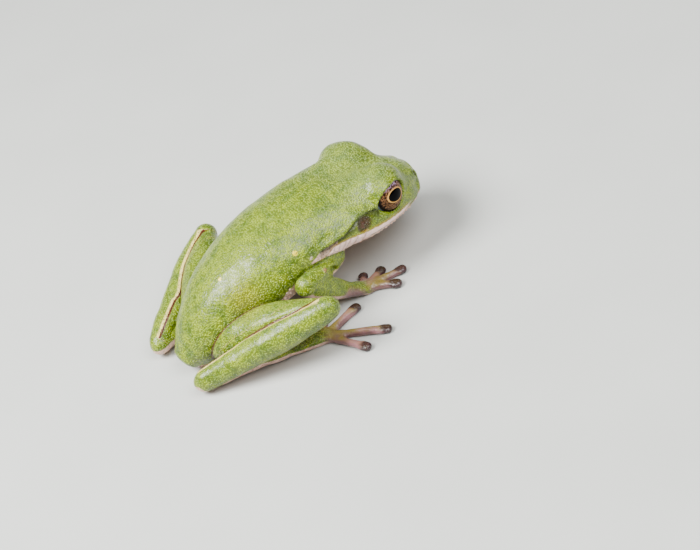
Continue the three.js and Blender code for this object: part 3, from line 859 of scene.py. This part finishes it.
# Lip, ear fold, eardrum and eye slit, as distances in millimetres or in radii.
head_out = np.abs(head_left)
below_lip = height_along(LIP_TOP, head_forward) - head_up
lip_depth = np.minimum(below_lip, -under_jaw)
near_head = (head_forward > -4.6) & (from_body < 0.5) & (head_out > 1.5)
mark("lip", np.where(near_head, lip_depth, -2.0))
from_snout = 1 - smoothly(head_forward, 13.0, 16.5)  # the pale lip and its edge end here
lip_edge = hill(below_lip + 0.08, 0.14) * np.clip(from_snout - 0.5, 0, 1)
mark("lip_side", from_snout)
mark("lip_edge", np.where(near_head, lip_edge, 0))
creased = wrinkles(head_forward, below_lip)
mark("wrinkle", np.where(near_head & (lip_depth > 0), 0.6 * creased, 0))
fold_gap = height_along(EAR_FOLD, head_forward) - head_up
on_fold = (head_forward > -4.6) & (head_forward < 7.6) & (from_body < 0.5) & (head_out > 7)
mark("fold", np.where(on_fold, fold_gap, -3.0))
near_ear = (head_out > 7.5) & (from_body < 0.6)
mark("eardrum", np.where(near_ear, eardrum_radius(head_forward, head_up), 4.0))
by_eye = np.full(len(spots_on_skin), 3.0)
for side in (-1, 1):
    oval, outward, depth = slit_distance(side, spots_on_skin.T)
    by_eye = np.where((outward > 0.3) & (oval < 0.6), np.minimum(by_eye, depth), by_eye)
mark("by_eye", by_eye)
# Painted sheen: paler colour on the crown, along the spine and on the tops of the folded legs,
# where they face the light from above.
crown = smoothly(head_forward, -2, 6) * smoothly(facing[:, 2], 0.35, 0.95)
ridge = smoothly(facing[:, 2], 0.55, 1.0)
mark("painted_sheen", 0.3 * (0.35 * ridge + 0.65 * crown))

# Moist, granular frog skin: each granule catches a point of light, with a painted glint on its
# top and painted shade between granules, over a green that comes from yellow and blue pigment
# cells in layers, thin enough to show cream and mauve below.
GREENS = ("#648200", "#A4BA00")
# The sheen colour is a painted highlight, and the gap green is painted shade between the
# granules.
GRANULE_GAP_SHADE, GOLD_PATCH, SHEEN_PAINT = "#243200", "#B4B000", "#B4CA84"
CREAM, LIP_PINK, LIP_GOLD, WRINKLE_SHADE = "#E4BCA8", "#F2CDC4", "#C09830", "#7A4A44"
TOE_MAUVE, TOE_YELLOW, TOE_ROSE, DISC_PLUM = "#70504E", "#847A20", "#B0787C", "#241216"
LINE_BROWN, LINE_CREAM, FOLD_SHADE, LID_CONTACT_SHADE = "#4A1808", "#E6D280", "#262B02", "#1A1206"
EAR_BROWN, EAR_ROSE, SPOT_GOLD = "#33240A", "#4E2C22", "#D8C200"
ELBOW_ROSE, ARMPIT_PINK, NOSTRIL_SHADE = "#8E5048", "#DCC4B4", "#2A2018"
GRANULE = 0.33  # mm between granules; the real ones are finer, and would not show
GRANULE_RISE = 0.3  # mm
NOISE_SIZES = {"mottle": 1.6, "broad": 6.0, "fine": 0.5}  # mm across one patch
GOLD_PATCH_PLACE = (11.0, -7.6, 12.1)
# Spots: place, colour, radius where it ends and where it is full, and how far its edge
# strays (mm). The gold ones are on the right side only.
SPOTS = [
    ((21.6, -8.8, 15.5), SPOT_GOLD, 0.54, 0.34, 0.0),
    ((9.7, -3.1, 15.1), SPOT_GOLD, 0.42, 0.22, 0.0),
]
for side in (-1, 1):
    SPOTS += [
        ((ELBOW_BUMP[0], side * ELBOW_BUMP[1], ELBOW_BUMP[2]), ELBOW_ROSE, 0.57, 0.32, 1.2),
        ((23.4, side * 9.9, 13.5), ARMPIT_PINK, 0.47, 0.22, 1.2),
        # painted shade in the nostril's pit
        (at(head_axes, NOSTRIL[0], side * NOSTRIL[1], NOSTRIL[2]), NOSTRIL_SHADE, 0.75, 0.3, 0.0),
    ]
# Edges that stray with a noise: the mark, the noise, and how far in the mark's own unit.
# A noise lies about one half, so the limits below are shifted by half of that.
STRAYING = {
    "cream edge": ("pale", "mottle", 0.5),
    "toe top": ("upward", "mottle", 1.6),
    "disc edge": ("from_tip", "mottle", 1.0),
    "toe root": ("digit", "mottle", 0.5),
    "lip edge": ("lip", "fine", 0.35),
    "toe sheen": ("digit", "fine", 1.0),
}


def coverage(tree, *steps):
    """The product of these steps. Each is a share, or a value and the limits of its rise."""
    product = None
    for step in steps:
        if isinstance(step, tuple):
            value, start, end, low, high = step if len(step) == 5 else (*step, 0.0, 1.0)
            step = add(tree, "ShaderNodeMapRange", {
                "Value": value, "From Min": start, "From Max": end, "To Min": low, "To Max": high,
            }, interpolation_type="SMOOTHSTEP").outputs["Result"]
        product = step if product is None else add(tree, "ShaderNodeMath", {
            0: product, 1: step,
        }, operation="MULTIPLY").outputs[0]
    return product


def painted(tree, ground, coats):
    """A ground colour under coats of others, each with the steps that limit it."""
    colour = linear(ground)
    for over, *steps in coats:
        over = linear(over) if isinstance(over, str) else over
        colour = add(tree, "ShaderNodeMix", {
            0: coverage(tree, *steps), 6: colour, 7: over,
        }, data_type="RGBA").outputs[2]
    return colour


skin_material, skin_tree = new_material("moist_granular_frog_skin")
skin_place = add(skin_tree, "ShaderNodeTexCoord").outputs["Object"]
marks = {}
for name in (
    "pale", "upward", "digit", "from_tip", "leg_line", "flank_crease_shade", "lip", "lip_side",
    "lip_edge", "wrinkle", "fold", "eardrum", "by_eye", "painted_sheen",
):
    marks[name] = add(skin_tree, "ShaderNodeAttribute", attribute_name=name).outputs["Fac"]
noises = {name: add(skin_tree, "ShaderNodeTexNoise", {
    "Vector": skin_place, "Scale": 1 / (size * MM), "Detail": 2.0,
}).outputs["Fac"] for name, size in NOISE_SIZES.items()}
mottle, broad, fine = noises.values()
straying = {name: add(skin_tree, "ShaderNodeMath", {
    0: noises[noise], 1: swing, 2: marks[of],
}, operation="MULTIPLY_ADD").outputs[0] for name, (of, noise, swing) in STRAYING.items()}
from_granule = add(skin_tree, "ShaderNodeTexVoronoi", {
    "Vector": skin_place, "Scale": 1 / (GRANULE * MM), "Smoothness": 0.15,
}, feature="SMOOTH_F1").outputs["Distance"]
from_patch, *from_spots = [add(skin_tree, "ShaderNodeVectorMath", {
    0: skin_place, 1: tuple((np.array(place) - ORIGIN) * MM),
}, operation="DISTANCE").outputs["Value"] for place in (
    GOLD_PATCH_PLACE, *(spot[0] for spot in SPOTS),
)]

granule_top = coverage(skin_tree, (from_granule, 0.55, 0.05))
lip_shown = coverage(skin_tree, (straying["lip edge"], 0.175, 0.315), marks["lip_side"])
toe = painted(skin_tree, TOE_MAUVE, [
    (TOE_YELLOW, (straying["toe top"], 1.1, 2.0, 0.0, 0.7)),
    (TOE_ROSE, (broad, 0.5, 0.62, 0.0, 0.55)),
    (DISC_PLUM, (straying["disc edge"], 2.2, 1.5, 0.0, 0.9)),
])
leg_line, flank_crease_shade, fold = marks["leg_line"], marks["flank_crease_shade"], marks["fold"]
# Coats of colour from the ground up, each with what limits it: a value, where it sets in and
# where it is full, and its strengths there. A line is limited from both of its sides.
skin_coats = [
    (GREENS[1], (mottle, 0.3, 0.7)),
    (GREENS[1], (broad, 0.42, 0.7, 0.0, 0.6)),
    (GOLD_PATCH, (from_patch, 5.0 * MM, 0.5 * MM, 0.0, 0.6)),
    # painted sheen on the faces turned up to the light
    (SHEEN_PAINT, marks["painted_sheen"]),
    # painted glints on the granule tops
    (SHEEN_PAINT, granule_top, (fine, 0.3, 0.7, 0.0, 0.3)),
    # painted shade in the hollows between the granules
    (GRANULE_GAP_SHADE, (from_granule, 0.22, 0.72, 0.0, 0.76)),
    (CREAM, (straying["cream edge"], 0.55, 0.95)),
    (toe, (straying["toe root"], 0.85, 1.6)),
    (FOLD_SHADE, (fold, -0.3, 0.1), (fold, 1.7, 0.2, 0.0, 0.8)),
    (EAR_BROWN, (marks["eardrum"], 1.12, 0.8, 0.0, 0.9)),
    (EAR_ROSE, (marks["eardrum"], 0.85, 0.3), (fine, 0.35, 0.6, 0.2, 0.8)),
    (LIP_PINK, lip_shown),
    # painted shade in the grooves of the lip's wrinkles
    (WRINKLE_SHADE, marks["wrinkle"], lip_shown),
    (LIP_GOLD, marks["lip_edge"]),
    (LINE_CREAM, (leg_line, -0.05, 0.12), (leg_line, 0.75, 0.45, 0.0, 0.85)),
    (LINE_BROWN, (leg_line, -0.28, -0.1), (leg_line, 0.28, 0.1)),
    # painted shade: a thin dark line in the crease between flank and thigh
    (LINE_BROWN, (flank_crease_shade, -0.2, -0.06), (flank_crease_shade, 0.2, 0.06, 0.0, 0.85)),
    # painted shade: a thin dark line where the lid's edge meets the eye
    (LID_CONTACT_SHADE, (marks["by_eye"], 0.16, 0.04)),
]
for (place, spot_colour, ends, full, stray), from_spot in zip(SPOTS, from_spots):
    uneven = add(skin_tree, "ShaderNodeMath", {
        0: mottle, 1: stray * MM, 2: from_spot,
    }, operation="MULTIPLY_ADD").outputs[0]
    skin_coats.append(
        (spot_colour, (uneven, (ends + stray / 2) * MM, (full + stray / 2) * MM))
    )

# Relief: a dome for each granule, fainter on the digits and the lip. The digits shine more.
relief = add(skin_tree, "ShaderNodeMath", {
    0: fine, 1: 0.5, 2: granule_top,
}, operation="MULTIPLY_ADD").outputs[0]
off_lip = add(skin_tree, "ShaderNodeMath", {
    0: lip_shown, 1: -0.75, 2: 1.0,
}, operation="MULTIPLY_ADD").outputs[0]
bump = add(skin_tree, "ShaderNodeBump", {
    "Height": coverage(skin_tree, relief, (marks["digit"], 0.6, 1.2, 1.0, 0.25), off_lip),
    "Strength": 1.0, "Distance": GRANULE_RISE * MM,
})
skin_shader = add(skin_tree, "ShaderNodeBsdfPrincipled", {
    "Base Color": painted(skin_tree, GREENS[0], skin_coats),
    "Normal": bump.outputs["Normal"],
    "Roughness": coverage(skin_tree, (straying["toe sheen"], 0.5, 2.2, 0.32, 0.2)),
    "IOR": 1.45, "Specular IOR Level": 0.5,
    "Subsurface Weight": 0.12, "Subsurface Scale": 0.6 * MM, "Subsurface Radius": (1.0, 0.8, 0.3),
    "Coat Weight": 0.2, "Coat Roughness": 0.22,
})
add(skin_tree, "ShaderNodeOutputMaterial", {"Surface": skin_shader.outputs["BSDF"]})
skin_mesh.materials.clear()
skin_mesh.materials.append(skin_material)
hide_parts(*[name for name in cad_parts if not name.startswith("eye_")])
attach(skin, "root")

# ------------------------------------------------------------------- belly granules
# The skin of a tree frog's throat and belly is paved with low, rounded granules, which take
# up water. They are pale living skin, moist and all of a piece with it.

GRANULE_SPACING = 0.62  # mm, at the least
GRANULE_RADIUS = 0.25
DOMES_PER_AREA = 4.0e6  # to a square metre, before those that lie too close are left out
BELLY_COLOURS = ("#EBC9B4", "#DDB0A0")
BLUSH_SIZE = 1.5  # mm

paving = bpy.data.node_groups.new("belly_granules", "GeometryNodeTree")
paving.is_modifier = True
for label, way, kind in (
    ("Geometry", "OUTPUT", "NodeSocketGeometry"), ("Geometry", "INPUT", "NodeSocketGeometry"),
    ("Spacing", "INPUT", "NodeSocketFloat"), ("Radius", "INPUT", "NodeSocketFloat"),
    ("Material", "INPUT", "NodeSocketMaterial"),
):
    paving.interface.new_socket(label, in_out=way, socket_type=kind)
given = add(paving, "NodeGroupInput").outputs
granular = add(paving, "GeometryNodeInputNamedAttribute", {"Name": "granular"})
scattered = add(paving, "GeometryNodeDistributePointsOnFaces", {
    "Mesh": given["Geometry"], "Distance Min": given["Spacing"], "Density Max": DOMES_PER_AREA,
    "Density Factor": granular.outputs["Attribute"], "Seed": 5,
}, distribute_method="POISSON")
dome = add(paving, "GeometryNodeMeshUVSphere", {
    "Segments": 8, "Rings": 5, "Radius": given["Radius"],
})
girth = add(paving, "FunctionNodeRandomValue", {
    "Min": (0.8, 0.8, 0.4), "Max": (1.2, 1.2, 0.7), "Seed": 9,
}, data_type="FLOAT_VECTOR")
placed = add(paving, "GeometryNodeInstanceOnPoints", {
    "Points": scattered.outputs["Points"], "Instance": dome.outputs["Mesh"],
    "Rotation": scattered.outputs["Rotation"], "Scale": girth.outputs["Value"],
})
realized = add(paving, "GeometryNodeRealizeInstances", {"Geometry": placed.outputs["Instances"]})
painted_domes = add(paving, "GeometryNodeSetMaterial", {
    "Geometry": realized.outputs["Geometry"], "Material": given["Material"],
})
add(paving, "NodeGroupOutput", {"Geometry": painted_domes.outputs["Geometry"]})

# Pale belly skin: matte cream flesh, blushed a little rosier in soft patches.
belly_material, belly_tree = new_material("pale_granular_belly_skin")
belly_place = add(belly_tree, "ShaderNodeTexCoord").outputs["Object"]
blush = add(belly_tree, "ShaderNodeTexNoise", {
    "Vector": belly_place, "Scale": 1 / (BLUSH_SIZE * MM),
})
belly_colour = add(belly_tree, "ShaderNodeMix", {
    0: blush.outputs["Fac"], 6: linear(BELLY_COLOURS[0]), 7: linear(BELLY_COLOURS[1]),
}, data_type="RGBA").outputs[2]
belly_shader = add(belly_tree, "ShaderNodeBsdfPrincipled", {
    "Base Color": belly_colour, "Roughness": 0.42,
    "Subsurface Weight": 0.15, "Subsurface Scale": 0.5 * MM,
})
add(belly_tree, "ShaderNodeOutputMaterial", {"Surface": belly_shader.outputs["BSDF"]})

granules_object = bpy.data.objects.new("belly_granules", skin_mesh)
bpy.context.scene.collection.objects.link(granules_object)
paver = granules_object.modifiers.new("paving", "NODES")
paver.node_group = paving
chosen = {
    "Spacing": GRANULE_SPACING * MM, "Radius": GRANULE_RADIUS * MM, "Material": belly_material,
}
for socket in paving.interface.items_tree:
    if socket.name in chosen:
        paver[socket.identifier] = chosen[socket.name]
evaluated = granules_object.evaluated_get(bpy.context.evaluated_depsgraph_get())
granule_mesh = bpy.data.meshes.new_from_object(evaluated)
granules_object.modifiers.remove(paver)
granules_object.data = granule_mesh
granule_mesh.name = "belly_granules"
granule_mesh.shade_smooth()
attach(granules_object, "root")

# ------------------------------------------------------------------------------ eyes
# Two firm globes in their sockets, under a clear wet cornea. The iris is a bronze net of
# pigment with a gold ring round the black, level pupil, and its rim is dark.

PUPIL = (1.5, 1.04)  # half length and half height (mm)
IRIS_RADIUS = 2.85
IRIS_BRONZE, IRIS_DARK, IRIS_GOLD, PAINTED_IRIS_GLINT = "#7A5638", "#160C08", "#C8964E", "#A890BC"
MEMBRANE_GREY, RIM_DARK, PUPIL_BLACK = "#7C8894", "#120C0A", "#020203"
IRIS_NET, IRIS_FLECKS, IRIS_BLOTCHES = 2.4, 3.4, 0.9  # to a millimetre


def build_eye(side, name):
    """An eyeball whose points know where they lie from its line of sight, in millimetres."""
    eye_mesh = bpy.data.meshes.new(name)
    rings, around = 96, 128
    polar = np.linspace(0, math.pi, rings + 1)[1:-1]
    turn = np.arange(around) * 2 * math.pi / around
    local = np.array([
        (math.sin(p) * math.cos(t), math.sin(p) * math.sin(t), math.cos(p))
        for p in polar for t in turn
    ] + [(0, 0, 1), (0, 0, -1)])
    axes = np.array(looking(side, *GAZE_TURN))
    mirrored = np.linalg.det(axes) < 0
    placed = (eye_centre(side) + EYE_RADIUS * local @ axes - ORIGIN) * MM
    k = np.arange(around)
    after = (k + 1) % around
    quads = [
        face for ring in range(len(polar) - 1)
        for face in zip(
            ring * around + k, (ring + 1) * around + k,
            (ring + 1) * around + after, ring * around + after,
        )
    ]
    last = (len(polar) - 1) * around
    top, bottom = len(placed) - 2, len(placed) - 1
    caps = list(zip([top] * around, k, after))
    caps += list(zip([bottom] * around, last + after, last + k))
    faces = [[int(v) for v in face] for face in quads + caps]
    faces = [face[::-1] for face in faces] if mirrored else faces
    eye_mesh.from_pydata(placed.tolist(), [], faces)
    sight = eye_mesh.attributes.new("sight", "FLOAT_VECTOR", "POINT")
    sight.data.foreach_set("vector", (EYE_RADIUS * local).astype(np.float32).ravel())
    eye_mesh.shade_smooth()
    eye = bpy.data.objects.new(name, eye_mesh)
    bpy.context.scene.collection.objects.link(eye)
    return eye


# A wet, clear-coated eye: sharp reflections over a matte, mottled iris.
eye_material, eye_tree = new_material("wet_frog_eye")
sight = add(eye_tree, "ShaderNodeAttribute", attribute_name="sight").outputs["Vector"]
high, outward = add(eye_tree, "ShaderNodeSeparateXYZ", {"Vector": sight}).outputs[1:]
net = add(eye_tree, "ShaderNodeTexVoronoi", {
    "Vector": sight, "Scale": IRIS_NET,
}, feature="DISTANCE_TO_EDGE").outputs["Distance"]
flecks, blotches = [add(eye_tree, "ShaderNodeTexNoise", {
    "Vector": sight, "Scale": scale, "Detail": detail,
}).outputs["Fac"] for scale, detail in ((IRIS_FLECKS, 4.0), (IRIS_BLOTCHES, 2.0))]
radii = []
for half_length, half_height in (PUPIL, (1.0, 1.0)):
    squeezed = add(eye_tree, "ShaderNodeVectorMath", {
        0: sight, 1: (1 / half_length, 1 / half_height, 0.0),
    }, operation="MULTIPLY").outputs["Vector"]
    radii.append(add(eye_tree, "ShaderNodeVectorMath", {
        0: squeezed,
    }, operation="LENGTH").outputs["Value"])
from_pupil, from_axis = radii  # in radii of the pupil, and in millimetres
eye_colour = painted(eye_tree, IRIS_BRONZE, [
    (IRIS_DARK, (flecks, 0.47, 0.58)),
    (IRIS_DARK, (net, 0.1, 0.0, 0.0, 0.75)),
    (IRIS_DARK, (blotches, 0.5, 0.68, 0.0, 0.6)),
    # painted reflection: a lilac glint across the top of the iris
    (PAINTED_IRIS_GLINT, (high, 0.9, 1.9), (flecks, 0.52, 0.4, 0.0, 0.7)),
    (IRIS_GOLD, (from_pupil, 1.22, 1.1)),
    (RIM_DARK, (from_axis, IRIS_RADIUS - 0.35, IRIS_RADIUS - 0.1)),
    (MEMBRANE_GREY, (from_axis, IRIS_RADIUS + 0.1, IRIS_RADIUS + 0.3)),
    (PUPIL_BLACK, (from_pupil, 1.05, 0.97)),
    (RIM_DARK, (outward, 0.6, 0.0)),
])
eye_shader = add(eye_tree, "ShaderNodeBsdfPrincipled", {
    "Base Color": eye_colour, "Roughness": 0.5, "Specular IOR Level": 0.0,
    "Coat Weight": 1.0, "Coat IOR": 1.13, "Coat Roughness": 0.04,
})
add(eye_tree, "ShaderNodeOutputMaterial", {"Surface": eye_shader.outputs["BSDF"]})
for side, eye_name in ((-1, "right"), (1, "left")):
    eye = build_eye(side, "eyeball_" + eye_name)
    eye.data.materials.append(eye_material)
    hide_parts("eye_" + eye_name)
    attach(eye, "root")
